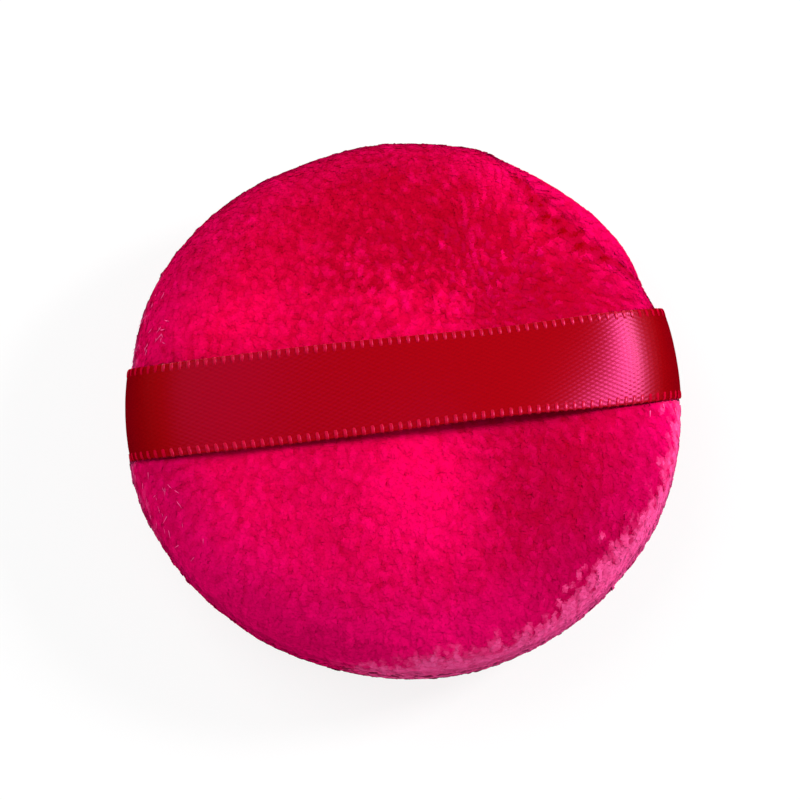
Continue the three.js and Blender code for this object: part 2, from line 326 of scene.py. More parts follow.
# %% The bag in the cloth solver
BAG_CELLS = 44
BAG_SCALE = 10.0
BAG_PRESSURE = 4.0
BAG_GROWTH = 0.035  # the cloth is cut this much larger than the pad
BAG_FRAMES = 20
MOST_SWELL = 0.4  # the farthest that a point is taken


def bag_mesh():
    """Both covers on coarse grids, the back's edge points being the front's, in enlarged metres."""
    sheets = [cover_base(side, *disc_grid(BAG_CELLS, CLOTH_RADIUS[side])) for side in (1, -1)]
    count, rim = len(sheets[0]), rim_numbers(BAG_CELLS)
    numbers = np.concatenate([np.arange(count), count + np.arange(count)])
    numbers[count + rim] = rim
    front = grid_faces(BAG_CELLS + 1, BAG_CELLS + 1)
    faces = np.concatenate([front[:, ::-1], numbers[count + front]])
    points = np.concatenate(sheets)
    used = np.unique(faces)
    small = np.full(len(points), -1)
    small[used] = np.arange(len(used))
    mesh = bpy.data.meshes.new("bag")
    mesh.from_pydata(points[used] * MM * BAG_SCALE, [], small[faces])
    bag = bpy.data.objects.new("bag", mesh)
    bpy.context.scene.collection.objects.link(bag)
    bag.vertex_groups.new(name="seam").add([int(k) for k in small[rim]], 1.0, "REPLACE")
    return bag, points[used], small[numbers]


def stuffed():
    """How far the stuffing moves each cover, as one field of vectors for each side."""
    bag, before, numbers = bag_mesh()
    cloth = bag.modifiers.new("stuffing", "CLOTH")
    cloth.settings.use_pressure = True
    cloth.settings.uniform_pressure_force = BAG_PRESSURE
    cloth.settings.shrink_min = -BAG_GROWTH
    cloth.settings.vertex_group_mass = "seam"
    cloth.settings.effector_weights.gravity = 0
    scene = bpy.context.scene
    for number in range(1, BAG_FRAMES + 1):
        scene.frame_set(number)
    blown = bag.evaluated_get(bpy.context.evaluated_depsgraph_get()).data
    after = np.empty(len(before) * 3, np.float32)
    blown.vertices.foreach_get("co", after)
    moved = after.reshape(-1, 3) / (MM * BAG_SCALE) - before
    reach = np.linalg.norm(moved, axis=1, keepdims=True)
    moved = moved * min(1, MOST_SWELL / reach.max())
    scene.frame_set(1)
    bpy.data.objects.remove(bag)
    print(f"stuffing moves the cloth {reach.mean():.2f} mm on average, {reach.max():.2f} at most")
    fields = moved[numbers].reshape(2, BAG_CELLS + 1, BAG_CELLS + 1, 3)
    return {1: fields[0], -1: fields[1]}


SWELL = stuffed()

# %% The stuffed cover
def cover_points(side, x, y):
    """Points of a cover's ground at places on the unrolled cloth, pushed out by the stuffing."""
    a, b = disc_to_square(x / CLOTH_RADIUS[side], y / CLOTH_RADIUS[side])
    point = cover_base(side, x, y) + sample(SWELL[side], a, b)
    point[..., 2] = np.maximum(point[..., 2], PILE)
    return point


def unit(vectors):
    """Vectors scaled to length 1."""
    return vectors / np.maximum(np.linalg.norm(vectors, axis=-1, keepdims=True), 1e-12)


def cover_frame(side, x, y):
    """Points, outward normals and the two cloth directions as unit vectors, by small steps."""
    step = 0.02
    inward = 1 - step / CLOTH_RADIUS[side]
    x, y = x * inward, y * inward
    point = cover_points(side, x, y)
    along_x = cover_points(side, x + step, y) - point
    along_y = cover_points(side, x, y + step) - point
    normal = side * np.cross(along_x, along_y)
    return point, unit(normal), unit(along_x), unit(along_y)

# %% [markdown]
# ## The nap
#
# Velour looks streaky because its pile leans, and clumps lean a little differently. The streaks are
# made the way they arise: noise is smeared along the direction in which the pile lies. Everything is
# kept on the flat, unrolled cloth, so the ground, the pile and the colours can share it.

# %% Noise on the unrolled cloth
FIELD_HALF = 38.0  # half of the square that a field covers
FIELD_POINTS = 640
FIELD_X, FIELD_Y = np.meshgrid(*[np.linspace(-FIELD_HALF, FIELD_HALF, FIELD_POINTS)] * 2, indexing="ij")


def on_cloth(field, x, y):
    """A field's value at places on the unrolled cloth, in mm."""
    return sample(field, x / FIELD_HALF, y / FIELD_HALF)


def noise(draw, size):
    """A random field whose values change over about size mm."""
    return draw.normal(size=(int(2 * FIELD_HALF / size) + 2,) * 2)

# %% Streaks along the nap
NAP_HEADING = math.radians(-95)  # the pile lies towards the near edge
NAP_WANDER = math.radians(24)
WANDERS = [(9, 1.0), (3, 0.25)]  # size and strength of each noise that turns the heading
STREAK_WIDTH, STREAK_LENGTH = 0.28, 0.5
CLUMP_WIDTH, CLUMP_LENGTH = 0.6, 0.9
SMEAR_STEPS = 7


def smeared(draw, heading, width, length):
    """Noise of one width, averaged along the nap over a length, with mean 0 and spread 1."""
    grain = noise(draw, width)
    steps = np.linspace(-length / 2, length / 2, SMEAR_STEPS)
    shifted = [on_cloth(grain, FIELD_X + s * np.cos(heading), FIELD_Y + s * np.sin(heading)) for s in steps]
    field = np.mean(shifted, axis=0)
    return (field - field.mean()) / field.std()


def nap_of(seed):
    """The heading of the nap, its fine streaks and its clumps, for one cover."""
    draw = np.random.default_rng(seed)
    wander = sum(strength * on_cloth(noise(draw, size), FIELD_X, FIELD_Y) for size, strength in WANDERS)
    heading = NAP_HEADING + NAP_WANDER * wander
    streaks = smeared(draw, heading, STREAK_WIDTH, STREAK_LENGTH)
    clumps = smeared(draw, heading, CLUMP_WIDTH, CLUMP_LENGTH)
    return {"heading": heading, "streaks": streaks, "clumps": clumps}


NAPS = {1: nap_of(11), -1: nap_of(12)}


def nap_at(side, x, y, *parts):
    """Parts of a cover's nap, by name, at places on the unrolled cloth."""
    return [on_cloth(NAPS[side][part], x, y) for part in parts]


print("nap heading spread, degrees:", round(math.degrees(NAPS[1]["heading"].std()), 1))

# %% [markdown]
# ## Stitch dents and a crease
#
# Where the gap was closed by hand, each stitch draws the cloth down into a dent, and the dents lie in
# a shallow trough. They could be sculpted into the finished mesh. As one formula on the unrolled cloth
# they lower the ground and the pile, and paint their shade on the nap, in the very same places.

# %% Hollows of the cloth
DENT_RADIUS = 0.62  # of each dent, and half of the trough's width
DENT_INWARDS = 0.7  # how far the dents lie from the seam, on the front
DENT_TROUGH = 0.38  # depth of the trough that they lie in, as a share of theirs
DENT_STRAY = 0.25  # how far they lie to either side of their line, by turns
DENT_DEPTH = 0.12
CREASE_ANGLE = math.radians(-71.5)
CREASE_LENGTH = 4.5
CREASE_WIDTH = 0.7
CREASE_SHARE = 0.27  # its depth, as a share of a dent's
HOLLOW_SHADE = 2.2  # how much painted shade lowers the nap's tone in a hollow


def smooth_step(low, high, value):
    """0 below low, 1 above high, and an even S between."""
    t = np.clip((value - low) / (high - low), 0, 1)
    return t * t * (3 - 2 * t)


def hollows(side, x, y):
    """0 on smooth cloth and 1 in the middle of a hollow.

    Each closing stitch leaves a dent, exp(-(d / DENT_RADIUS)^2), in a trough along the gap, deepest in
    its middle. One crease runs in from the seam, where the cloth is caught with a small tuck."""
    bearing = np.arctan2(y, x)
    from_seam = side * (CLOTH_RADIUS[side] - np.hypot(x, y))
    strays = DENT_INWARDS + DENT_STRAY * (-1.0) ** np.arange(STITCHES)
    away = [
        (from_seam - stray) ** 2 + (SEAM_RADIUS * (bearing - at)) ** 2
        for at, stray in zip(STITCH_BEARINGS, strays)
    ]
    drawn = np.clip(1 - ((bearing - GAP_ANGLE) / ROLL_HALF_ANGLE) ** 2, 0, 1)
    trough = np.exp(-(((from_seam - DENT_INWARDS) / DENT_RADIUS) ** 2))
    dents = drawn * np.maximum(np.exp(-np.min(away, axis=0) / DENT_RADIUS**2), DENT_TROUGH * trough)
    along = x * math.cos(CREASE_ANGLE) + y * math.sin(CREASE_ANGLE)
    across = y * math.cos(CREASE_ANGLE) - x * math.sin(CREASE_ANGLE)
    starts = CLOTH_RADIUS[side] - CREASE_LENGTH
    tuck = np.exp(-((across / CREASE_WIDTH) ** 2)) * smooth_step(starts, starts + CREASE_LENGTH / 2, along)
    return np.maximum(dents, CREASE_SHARE * tuck)


print(f"{STITCHES} dents, {DENT_DEPTH} mm deep, {DENT_INWARDS} mm from the seam")

# %% [markdown]
# ## Painted light, shade and sheen on the nap
#
# Where fingers have stroked the pile one way or the other, its lean takes the light differently, and
# this light and shade is painted into its tone as soft lumps with a place, a size and a strength. It is
# painted pinker where one looks at its tips, as their sheen. Round the rim a pale painted sheen stands
# for fibre ends seen from the side, more on some sides than on others.

# %% Tone, with painted light and shade
# Painted light and shade: each lump lightens or darkens the nap where its lean, or the rim, takes more or
# less light.
PAINTED_LIGHT_PATCHES = [
    # x, y, reach along x, reach along y, strength
    (-16, 9.5, 7, 4, 0.38),
    (6, 17, 14, 6, -0.50),
    (0, 24, 10, 4, -0.25),
    (15, 8, 8, 5, -0.65),
    (3, 8, 6, 4, 0.35),
    (13, 23, 5, 4, 0.30),
    (20, 16.5, 6, 6, 0.30),
    (0.5, -11, 6, 8, 0.70),
    (13.5, -13, 8, 10, -0.48),
    (-19, -11, 7, 8, 0.40),
    (-14, -20, 8, 6, 0.15),
    (0, -28, 18, 4, 0.50),
    (28, -5, 3, 9, 0.50),
    (-25, -7, 4, 8, -0.12),
]
RUFFLED = (6, 13, 11, 7)  # x, y and reaches of the place where clumps and streaks show most
TONE_MIDDLE = 0.39
CLUMP_TONE, CLUMP_RUFFLED = 0.06, 0.12  # how far clumps change the tone, and how much more if ruffled
STREAK_TONE, STREAK_RUFFLED = 0.09, 0.10


def lump(point, x, y, reach_x, reach_y):
    """exp(-(dx / reach_x)^2 - (dy / reach_y)^2), 1 in the middle of a place."""
    return np.exp(-(((point[:, 0] - x) / reach_x) ** 2) - ((point[:, 1] - y) / reach_y) ** 2)


def nap_tone_and_shading(point, streaks, clumps):
    """How light the nap looks, about 0 to 1: patches of painted light and shade, and clumps and streaks."""
    patches = sum(strength * lump(point, *place) for *place, strength in PAINTED_LIGHT_PATCHES)
    ruffled = lump(point, *RUFFLED)
    clumpy = (CLUMP_TONE + CLUMP_RUFFLED * ruffled) * clumps
    streaky = (STREAK_TONE + STREAK_RUFFLED * ruffled) * streaks
    return TONE_MIDDLE + patches + clumpy + streaky

# %% Pink and painted sheen
# Painted sheen: the nap is painted pinker towards the near edge and round the rim, where its tips are seen.
BLUSH_MIDDLE, NEAR_SHEEN_PER_MM = 0.22, 0.016  # in the middle, and its growth towards the near edge
RIM_SHEEN_PINK, RIM_SHEEN_SETS_IN = 0.6, (0.66, 0.98)  # at the rim, setting in between these shares of the radius
BLUSH_STREAK, BLUSH_RUFFLED = 0.1, 0.2
# Painted sheen: pale colour along stretches of the rim, where fibres seen from the side catch the light.
PAINTED_SHEEN_RIM = [
    # bearing, reach, and width of the band of painted sheen along the cloth
    (-45, 28, 4.6),
    (-88, 20, 3.2),
    (-6, 16, 2.4),
    (172, 34, 2.2),
]
PAINTED_SHEEN_SHARE = 0.8
PAINTED_SHEEN_BORDER = (-1.4, 1.0)  # the band's border fades out between these, in mm
PAINTED_SHEEN_BREAK = 0.5  # how far clumps and streaks shift the border
PAINTED_SHEEN_BAND = (0.5, 2.0)  # the painted sheen sets in as the band widens between these


def nap_pink_and_sheen(point, streaks):
    """How pink the nap is: pinker on streaks, and painted pinker towards the near edge and round the
    rim, as the sheen of its tips.
    """
    rim = RIM_SHEEN_PINK * smooth_step(*RIM_SHEEN_SETS_IN, np.hypot(point[:, 0], point[:, 1]) / PAD_RADIUS)
    streaky = (BLUSH_STREAK + BLUSH_RUFFLED * lump(point, *RUFFLED)) * streaks
    return np.clip(BLUSH_MIDDLE - NEAR_SHEEN_PER_MM * point[:, 1] + rim + streaky, 0, 1)


def nap_painted_sheen(side, x, y, streaks, clumps):
    """How much painted sheen, for pale fibre ends seen from the side, lies from the seam inwards, up to a
    clumpy border.
    """
    band = bells(np.arctan2(y, x), PAINTED_SHEEN_RIM)
    inside = band - (CLOTH_RADIUS[side] - np.hypot(x, y))
    broken = inside + PAINTED_SHEEN_BREAK * clumps + PAINTED_SHEEN_BREAK * streaks
    return PAINTED_SHEEN_SHARE * smooth_step(*PAINTED_SHEEN_BORDER, broken) * smooth_step(*PAINTED_SHEEN_BAND, band)


def nap_values(side, x, y, point):
    """All that the materials read, by attribute name, at places on one cover."""
    streaks, clumps = nap_at(side, x, y, "streaks", "clumps")
    hollow = hollows(side, x, y)
    # Painted shade: in hollows the nap's tone is lowered and its pink taken out.
    tone = nap_tone_and_shading(point, streaks, clumps) - HOLLOW_SHADE * hollow
    pink_and_sheen = nap_pink_and_sheen(point, streaks) * (1 - hollow)
    return {"tone": tone, "pink_and_sheen": pink_and_sheen, "painted_sheen": nap_painted_sheen(side, x, y, streaks, clumps)}


print(f"{len(PAINTED_LIGHT_PATCHES)} stroked patches, {len(PAINTED_SHEEN_RIM)} frosted stretches of the rim")

# %% [markdown]
# ## The knitted ground
#
# Each cover is a closed shell: the pile side on the fine square grid, and behind it the turned-in
# margin and the lining, which hang on the same edge points. The nap's clumps raise the pile side a
# little, so that the relief is in the mesh.

# %% One cover
GROUND_CELLS = 260
CLUMP_RELIEF, STREAK_RELIEF = 0.03, 0.02
RELIEF_ENDS = 0.97  # the relief fades out between this share of the cloth's radius and its edge
LINING_RINGS = 7
LINING_SHARE = 0.88  # the lining's share of the section, up to where the margin starts


def cover_lining(side, bearings):
    """Rings behind the edge: under the margin, up its end, back out and over the lining to the axis."""
    length, r, h = section(side, COVER_THICKNESS)
    stops = np.linspace(LINING_SHARE * length[-1], 0, LINING_RINGS)[:-1]
    low, high = SEAM_GAP / 2, SEAM_GAP / 2 + COVER_THICKNESS
    r = np.concatenate([[MARGIN_RADIUS] * 2, [SEAM_RADIUS - COVER_THICKNESS], np.interp(stops, length, r)])
    h = np.concatenate([[low, high, high], np.interp(stops, length, h)])
    rings = around(bearings[None, :], np.repeat(r[:, None], len(bearings), 1), side * h[:, None])
    axis_end = np.array([[0, 0, SEAM_Z + side * h[-1]]])
    return rings.reshape(-1, 3), axis_end, len(r)


def cover(name, side):
    """A closed velour cover with the values that its material reads."""
    x, y = disc_grid(GROUND_CELLS, CLOTH_RADIUS[side])
    point, normal, _, _ = cover_frame(side, x, y)
    streaks, clumps = nap_at(side, x, y, "streaks", "clumps")
    edge = 1 - smooth_step(RELIEF_ENDS, 1, np.hypot(x, y) / CLOTH_RADIUS[side])
    raised = (CLUMP_RELIEF * clumps + STREAK_RELIEF * streaks) * edge - DENT_DEPTH * hollows(side, x, y)
    point = point + normal * raised[:, None]
    rim = rim_numbers(GROUND_CELLS)
    rings, axis_end, count = cover_lining(side, np.arctan2(y, x)[rim])
    numbers = np.concatenate([[rim], len(point) + np.arange(count * len(rim)).reshape(count, -1)])
    last = numbers[-1]
    fan = np.stack([last, np.roll(last, -1), np.full_like(last, len(point) + len(rings))], axis=-1)
    pile_side = grid_faces(GROUND_CELLS + 1, GROUND_CELLS + 1)[:, ::-1]
    behind = numbers.ravel()[grid_faces(count + 1, len(rim), wrap=True)]
    faces = [pile_side, behind[:, ::-1], fan[:, ::-1]]
    faces = faces if side > 0 else [f[:, ::-1] for f in faces]
    values = nap_values(side, x, y, point)
    hidden = len(rings) + 1
    values = {key: np.append(value, np.full(hidden, value.mean())) for key, value in values.items()}
    return piece_from(name, np.concatenate([point, rings, axis_end]), faces, values)


front_ground = cover("front_velour", 1)
back_ground = cover("back_velour", -1)

# %% [markdown]
# ## The pile
#
# Cut pile is a crowd of tufts whose sheared tops make the surface. Each tuft here is a small closed
# pyramid that stands on its point, so its flat top is the sheared end, and about 100,000 of them cover
# one side. Hair curves would be quicker to place, but they aren't meshes, and these tufts can be kept,
# baked and measured like any other piece. They lean along the nap, neighbours nearly alike, and lie
# flat where the strap's ends press on the rim.

# %% Where the strap lies
RIBBON_WIDTH = 10.0
STRAP_OFF_CENTRE = 2.5  # the tails are sewn this far to one side of the middle
STRAP_LEAN = math.tan(math.radians(15))  # the strap leans back over the middle as it rises
PRESSED_FROM, PRESSED_TO = 19, 25  # from the middle: the strap comes down on the pile between these
PRESSED_BESIDE = 0.4  # the pile has risen again this far beside the strap


def pressed(point):
    """1 under the strap's ends, where it is drawn tight over the rim, and 0 elsewhere."""
    across = np.abs(point[:, 1] - STRAP_OFF_CENTRE + STRAP_LEAN * (point[:, 2] - SEAM_Z))
    under = 1 - smooth_step(RIBBON_WIDTH / 2, RIBBON_WIDTH / 2 + PRESSED_BESIDE, across)
    come_down = smooth_step(PRESSED_FROM, PRESSED_TO, np.abs(point[:, 0]))
    return under * come_down * (point[:, 2] > SEAM_Z - LIP_HEIGHT)


print(f"the strap is {RIBBON_WIDTH:.0f} mm wide and sewn {STRAP_OFF_CENTRE} mm off the middle")

# %% A piece made of pyramids
PYRAMID = [[1, 0, 3], [2, 1, 3], [0, 2, 3], [0, 1, 2]]
PYRAMID_MAP = [[0.1, 0.1], [0.9, 0.1], [0.5, 0.9], [0.5, 0.4]]  # its corners, in its square of the map


def corners_round(middle, first, second, width, turn):
    """Three points round each middle, a third of a turn apart, in the plane of two directions."""
    return [
        middle + width / 2 * (first * np.cos(turn + k)[:, None] + second * np.sin(turn + k)[:, None])
        for k in np.array([0, 2, 4]) * math.pi / 3
    ]


def tuft_piece(name, corners, values, facing, rise):
    """Closed pyramids of 3 end corners and a point, with a map that gives each its own square.

    A tuft is lit as the nap round it is, by its facing, not as a lone pyramid with dark sides. rise is
    1 where the 3 corners are the fibres' ends, and 0 where the point is."""
    count = len(corners[0])
    points = np.stack(corners, axis=1).reshape(-1, 3)
    base = 4 * np.arange(count)[:, None]
    faces = np.concatenate([base + np.array(face) for face in PYRAMID])
    wide = math.ceil(math.sqrt(count))
    square = np.stack([np.arange(count) % wide, np.arange(count) // wide], axis=-1)[:, None, :]
    uv = ((square + np.array(PYRAMID_MAP)[None]) / wide).reshape(-1, 2)
    values = {key: np.repeat(value, 4) for key, value in values.items()}
    values["rise"] = np.tile([rise, rise, rise, 1 - rise], count)
    return piece_from(name, points, [faces], values, uv, np.repeat(facing, 4, axis=0))

# %% Where the tufts stand, and how they lean
TUFT_SPACING = 0.18
TUFT_JITTER = 0.3  # how far a tuft strays from its row, as a share of the spacing
EDGE_CLEARANCE = 0.1  # no tuft stands nearer to the cloth's edge
NEAR_SEAM = (0.9, 2.0)  # from the seam: what it does to the tufts fades out between these
TURNED_IN = (0.15, 0.6)  # from the seam: the cloth that has turned in past the lip ends between these
SEAM_GROWTH = 0.8  # how much taller the tufts next to the seam are
GAP_GROWTH = 0.3  # share of that growth at the closed gap


def tuft_places(side, draw):
    """A jittered grid of places on the unrolled cloth."""
    count = int(CLOTH_RADIUS[side] / TUFT_SPACING)
    i, j = np.meshgrid(*[np.arange(-count, count + 1)] * 2, indexing="ij")
    x = (i + draw.uniform(-TUFT_JITTER, TUFT_JITTER, i.shape)) * TUFT_SPACING
    y = (j + draw.uniform(-TUFT_JITTER, TUFT_JITTER, j.shape)) * TUFT_SPACING
    inside = np.hypot(x, y) < CLOTH_RADIUS[side] - EDGE_CLEARANCE
    return x[inside], y[inside]


def over_seam(side, x, y, heading, lean):
    """The nap's heading, lean and growth, so that both piles fill the seam's groove.

    Next to the seam the tufts lean towards it. Past the lip, where the cloth has turned in, that would
    take them inside, so there they lean back and out. At the closed gap the lips lie flat, so there
    they keep their lean and grow less."""
    bearing, from_seam = np.arctan2(y, x), CLOTH_RADIUS[side] - np.hypot(x, y)
    grooved = 1 - gap_share(bearing)
    near = 1 - smooth_step(*NEAR_SEAM, from_seam)
    turned_in = grooved * (1 - smooth_step(*TURNED_IN, from_seam))
    outwards = np.angle(np.exp(1j * (bearing - heading)))
    growth = 1 + near * (GAP_GROWTH + (1 - GAP_GROWTH) * grooved) * SEAM_GROWTH
    return heading + near * outwards, lean * (1 - 2 * turned_in), growth


def along_nap(heading, along_x, along_y):
    """Unit vectors that lie on the cloth at a heading."""
    return unit(along_x * np.cos(heading)[:, None] + along_y * np.sin(heading)[:, None])

# %% The pile of both covers
TUFT_WIDTH = 0.6
TUFT_LEAN = math.radians(34)
ROOT_DEPTH = 0.1
ROLL_SPREAD = 0.4  # how much wider tufts are where the roll at the gap spreads the cloth
ROLL_SETS_IN = (0.55, 0.75)  # between these shares of the cloth's radius
HEADING_STRAY, HEADING_BY_STREAK = 0.1, 0.06  # radians, tuft by tuft and streak by streak
LEAN_STRAY, LEAN_BY_CLUMP = 0.05, 0.04
HEIGHT_STRAY, HEIGHT_BY_STREAK = 0.05, 0.05  # shares of the pile's height
HOLLOW_SHORTER, PRESSED_SHORTER = 0.1, 0.75  # what is lost of it in a hollow and under the strap
LOWEST_TOP = 0.03  # no tuft reaches below this, where the pad lies on the table
TONE_STRAY = 0.05
PAINTED_SHEEN_STRAY = (0.6, 1.2)  # each tuft takes a share of the painted sheen between these
NAP_FACING = 0.15  # how far the nap's lean turns the way it is lit
PILE_PARTS = 3


def tufts(side, draw):
    """Bearings, corners, values and facing of tufts on their roots in the ground of one cover.

    top = root + length * (normal cos lean + nap sin lean)."""
    x, y = tuft_places(side, draw)
    count, bearing = len(x), np.arctan2(y, x)
    point, normal, along_x, along_y = cover_frame(side, x, y)
    streaks, clumps, heading = nap_at(side, x, y, "streaks", "clumps", "heading")
    heading = heading + HEADING_STRAY * draw.normal(size=count) + HEADING_BY_STREAK * streaks
    lean = TUFT_LEAN + LEAN_STRAY * draw.normal(size=count) + LEAN_BY_CLUMP * clumps
    heading, lean, growth = over_seam(side, x, y, heading, lean)
    lying = along_nap(heading, along_x, along_y)
    upright = unit(normal * np.cos(lean)[:, None] + lying * np.sin(lean)[:, None])
    reach = PILE * np.tan(lean)
    top_x, top_y = x + reach * np.cos(heading), y + reach * np.sin(heading)
    hollow = hollows(side, top_x, top_y)
    height = PILE * growth * (1 + HEIGHT_STRAY * draw.normal(size=count) + HEIGHT_BY_STREAK * streaks)
    height = height * (1 - HOLLOW_SHORTER * hollow) * (1 - PRESSED_SHORTER * pressed(point))
    root = point - normal * (ROOT_DEPTH + DENT_DEPTH * hollow)[:, None]
    top = root + upright * ((height + ROOT_DEPTH) / np.cos(lean))[:, None]
    top[:, 2] = np.maximum(top[:, 2], LOWEST_TOP)
    turn = draw.uniform(0, 2 * math.pi, count)
    rolled = gap_share(bearing) * smooth_step(*ROLL_SETS_IN, np.hypot(x, y) / CLOTH_RADIUS[side])
    width = TUFT_WIDTH * (1 + ROLL_SPREAD * rolled[:, None])
    ends = corners_round(top, along_x, np.cross(normal, along_x), width, turn)
    values = nap_values(side, top_x, top_y, point)
    values["tone"] = values["tone"] + TONE_STRAY * draw.normal(size=count)
    values["painted_sheen"] = values["painted_sheen"] * draw.uniform(*PAINTED_SHEEN_STRAY, count)
    return bearing, (*ends, root), values, unit(normal + NAP_FACING * upright)


def pile(name, side, seed):
    """The tufts of one cover, as PILE_PARTS pieces that each take the same share of the way round."""
    bearing, corners, values, facing = tufts(side, np.random.default_rng(seed))
    part = (PILE_PARTS * (bearing / (2 * math.pi) + 0.5)).astype(int) % PILE_PARTS
    pieces = []
    for k in range(PILE_PARTS):
        own = part == k
        own_values = {key: value[own] for key, value in values.items()}
        own_corners = [corner[own] for corner in corners]
        pieces.append(tuft_piece(f"{name}_{k + 1}", own_corners, own_values, facing[own], 1.0))
    return pieces


front_pile = pile("front_pile", 1, 21)
back_pile = pile("back_pile", -1, 22)

# %% Stray fibres
FIBRES = [
    # bearing, reach in degrees, how many
    (164, 7, 50),
    (200, 6, 24),
    (-8, 5, 10),
]
FIBRE_LENGTH, FIBRE_WIDTH = 1.1, 0.16
FIBRE_LEAN = math.radians(72)
FIBRE_ZONE = (1.2, 7)  # how far in from the seam they start
FIBRE_STRAY = 0.7  # radians from the nap's heading
FIBRE_ROOT = 0.9  # where they start, as a share of the pile's height
FIBRE_SHARES = (0.6, 1.2)  # the shortest and the longest, as shares of the length
# Painted sheen: the fibres are painted light, pink and pale, as glints of light.
FIBRE_VALUES = {"tone": 0.8, "pink_and_sheen": 1.0, "painted_sheen": 1.0}


def fibres(name, seed):
    """A few long fibres worked loose near the rim, painted pale as the sheen they catch, each a slim
    pyramid that lies on the pile.
    """
    draw = np.random.default_rng(seed)
    bearing = np.concatenate([np.radians(at + reach * draw.normal(size=n)) for at, reach, n in FIBRES])
    s = CLOTH_RADIUS[1] - draw.uniform(*FIBRE_ZONE, len(bearing))
    x, y = s * np.cos(bearing), s * np.sin(bearing)
    point, normal, along_x, along_y = cover_frame(1, x, y)
    heading = NAP_HEADING + FIBRE_STRAY * draw.normal(size=len(x))
    lying = along_nap(heading, along_x, along_y)
    upright = normal * math.cos(FIBRE_LEAN) + lying * math.sin(FIBRE_LEAN)
    root = point + normal * (FIBRE_ROOT * PILE)
    tip = root + upright * (FIBRE_LENGTH * draw.uniform(*FIBRE_SHARES, len(x)))[:, None]
    corners = corners_round(root, np.cross(upright, normal), normal, FIBRE_WIDTH, np.zeros(len(x))) + [tip]
    clear = pressed(root) + pressed(tip) == 0
    values = {key: np.full(clear.sum(), value) for key, value in FIBRE_VALUES.items()}
    return tuft_piece(name, [c[clear] for c in corners], values, normal[clear], 0.0)


stray_fibres = fibres("stray_fibres", 31)

# %% [markdown]
# ## Nodes
#
# A material is a small graph of nodes. This helper adds one node and wires or sets its inputs, so
# that each material below reads as a short list.

# %% Node helpers
def add(tree, kind, inputs=None, **settings):
    """Adds a node. settings are its own properties; inputs are values, or sockets to wire."""
    node = tree.nodes.new(kind)
    for key, value in settings.items():
        setattr(node, key, value)
    for key, value in (inputs or {}).items():
        if isinstance(value, bpy.types.NodeSocket):
            tree.links.new(value, node.inputs[key])
        else:
            node.inputs[key].default_value = value
    return node


def maths(tree, operation, a, b=0.0, c=0.0):
    """The output of one Math node."""
    return add(tree, "ShaderNodeMath", {0: a, 1: b, 2: c}, operation=operation).outputs[0]


def attribute(tree, name):
    """A value that the piece keeps at its points."""
    return add(tree, "ShaderNodeAttribute", attribute_name=name).outputs["Fac"]


def new_material(name, inputs=None):
    """A material's node tree, its Principled BSDF with its inputs set, and the material."""
    material = bpy.data.materials.new(name)
    material.use_nodes = True
    tree = material.node_tree
    tree.nodes.clear()
    shader = add(tree, "ShaderNodeBsdfPrincipled", inputs)
    output = add(tree, "ShaderNodeOutputMaterial")
    tree.links.new(shader.outputs[0], output.inputs["Surface"])
    return tree, shader, material


def ramp(tree, value, stops):
    """A colour ramp through (place, linear colour) stops."""
    node = add(tree, "ShaderNodeValToRGB", {"Fac": value})
    elements = node.color_ramp.elements
    while len(elements) < len(stops):
        elements.new(0.5)
    for element, (place, colour) in zip(elements, stops):
        element.position = place
        element.color = (*colour, 1)
    return node.outputs["Color"]


def group(name, inputs, outputs):
    """An empty shader node group with named value inputs and outputs of given kinds."""
    tree = bpy.data.node_groups.new(name, "ShaderNodeTree")
    for key in inputs:
        tree.interface.new_socket(key, in_out="INPUT", socket_type="NodeSocketFloat")
    for key, kind in outputs.items():
        tree.interface.new_socket(key, in_out="OUTPUT", socket_type=kind)
    return tree, tree.nodes.new("NodeGroupInput"), tree.nodes.new("NodeGroupOutput")

# %% [markdown]
# ## Velour
#
# The dye is a deep pink. Where the nap turns away it is painted a redder, darker tone, as the shade in
# which light bouncing between dyed fibres loses its blue first, and in the stitch dents it is painted
# darker still.
# Velour has no gloss, only the soft light of fibres seen from the side, so the specular level is 0 and
# sheen does the rest.

# %% Velour colours
RED_DARK, RED_LIGHT = (0.44, 0.0003, 0.018), (0.89, 0.0008, 0.068)
PINK_DARK, PINK_LIGHT = (0.44, 0.0003, 0.055), (0.89, 0.001, 0.140)
# Painted shade deep in the pile: the roots, and the ground a little, are painted redder.
ROOT_SHADE = (0.60, 0.0003, 0.040)
# Painted sheen: the pale colour of fibres seen from the side round the rim.
PAINTED_SHEEN_COLOUR = (1.0, 0.10, 0.36)
# Painted deep shade: the colour that the stitch dents and the crease, and a little the darkest patches, go
# over to.
PAINTED_DEEP_SHADE = (0.30, 0.0001, 0.003)
DEEP_SHADE_BELOW = -0.15  # tones under this go over to the painted deep shade
SHEEN_ROUGHNESS, SHEEN_TINT = 0.4, (1.0, 0.02, 0.35, 1)
GROUND_SHEEN, PILE_SHEEN = 0.05, 0.1
GROUND_RISE = 0.7  # the ground has the colour of tufts this far up


def mixed(tree, share, first, second):
    """The output of a node that goes from the first colour to the second as share goes from 0 to 1."""
    node = add(tree, "ShaderNodeMix", {0: share, 6: first, 7: second}, data_type="RGBA")
    return node.outputs[2]


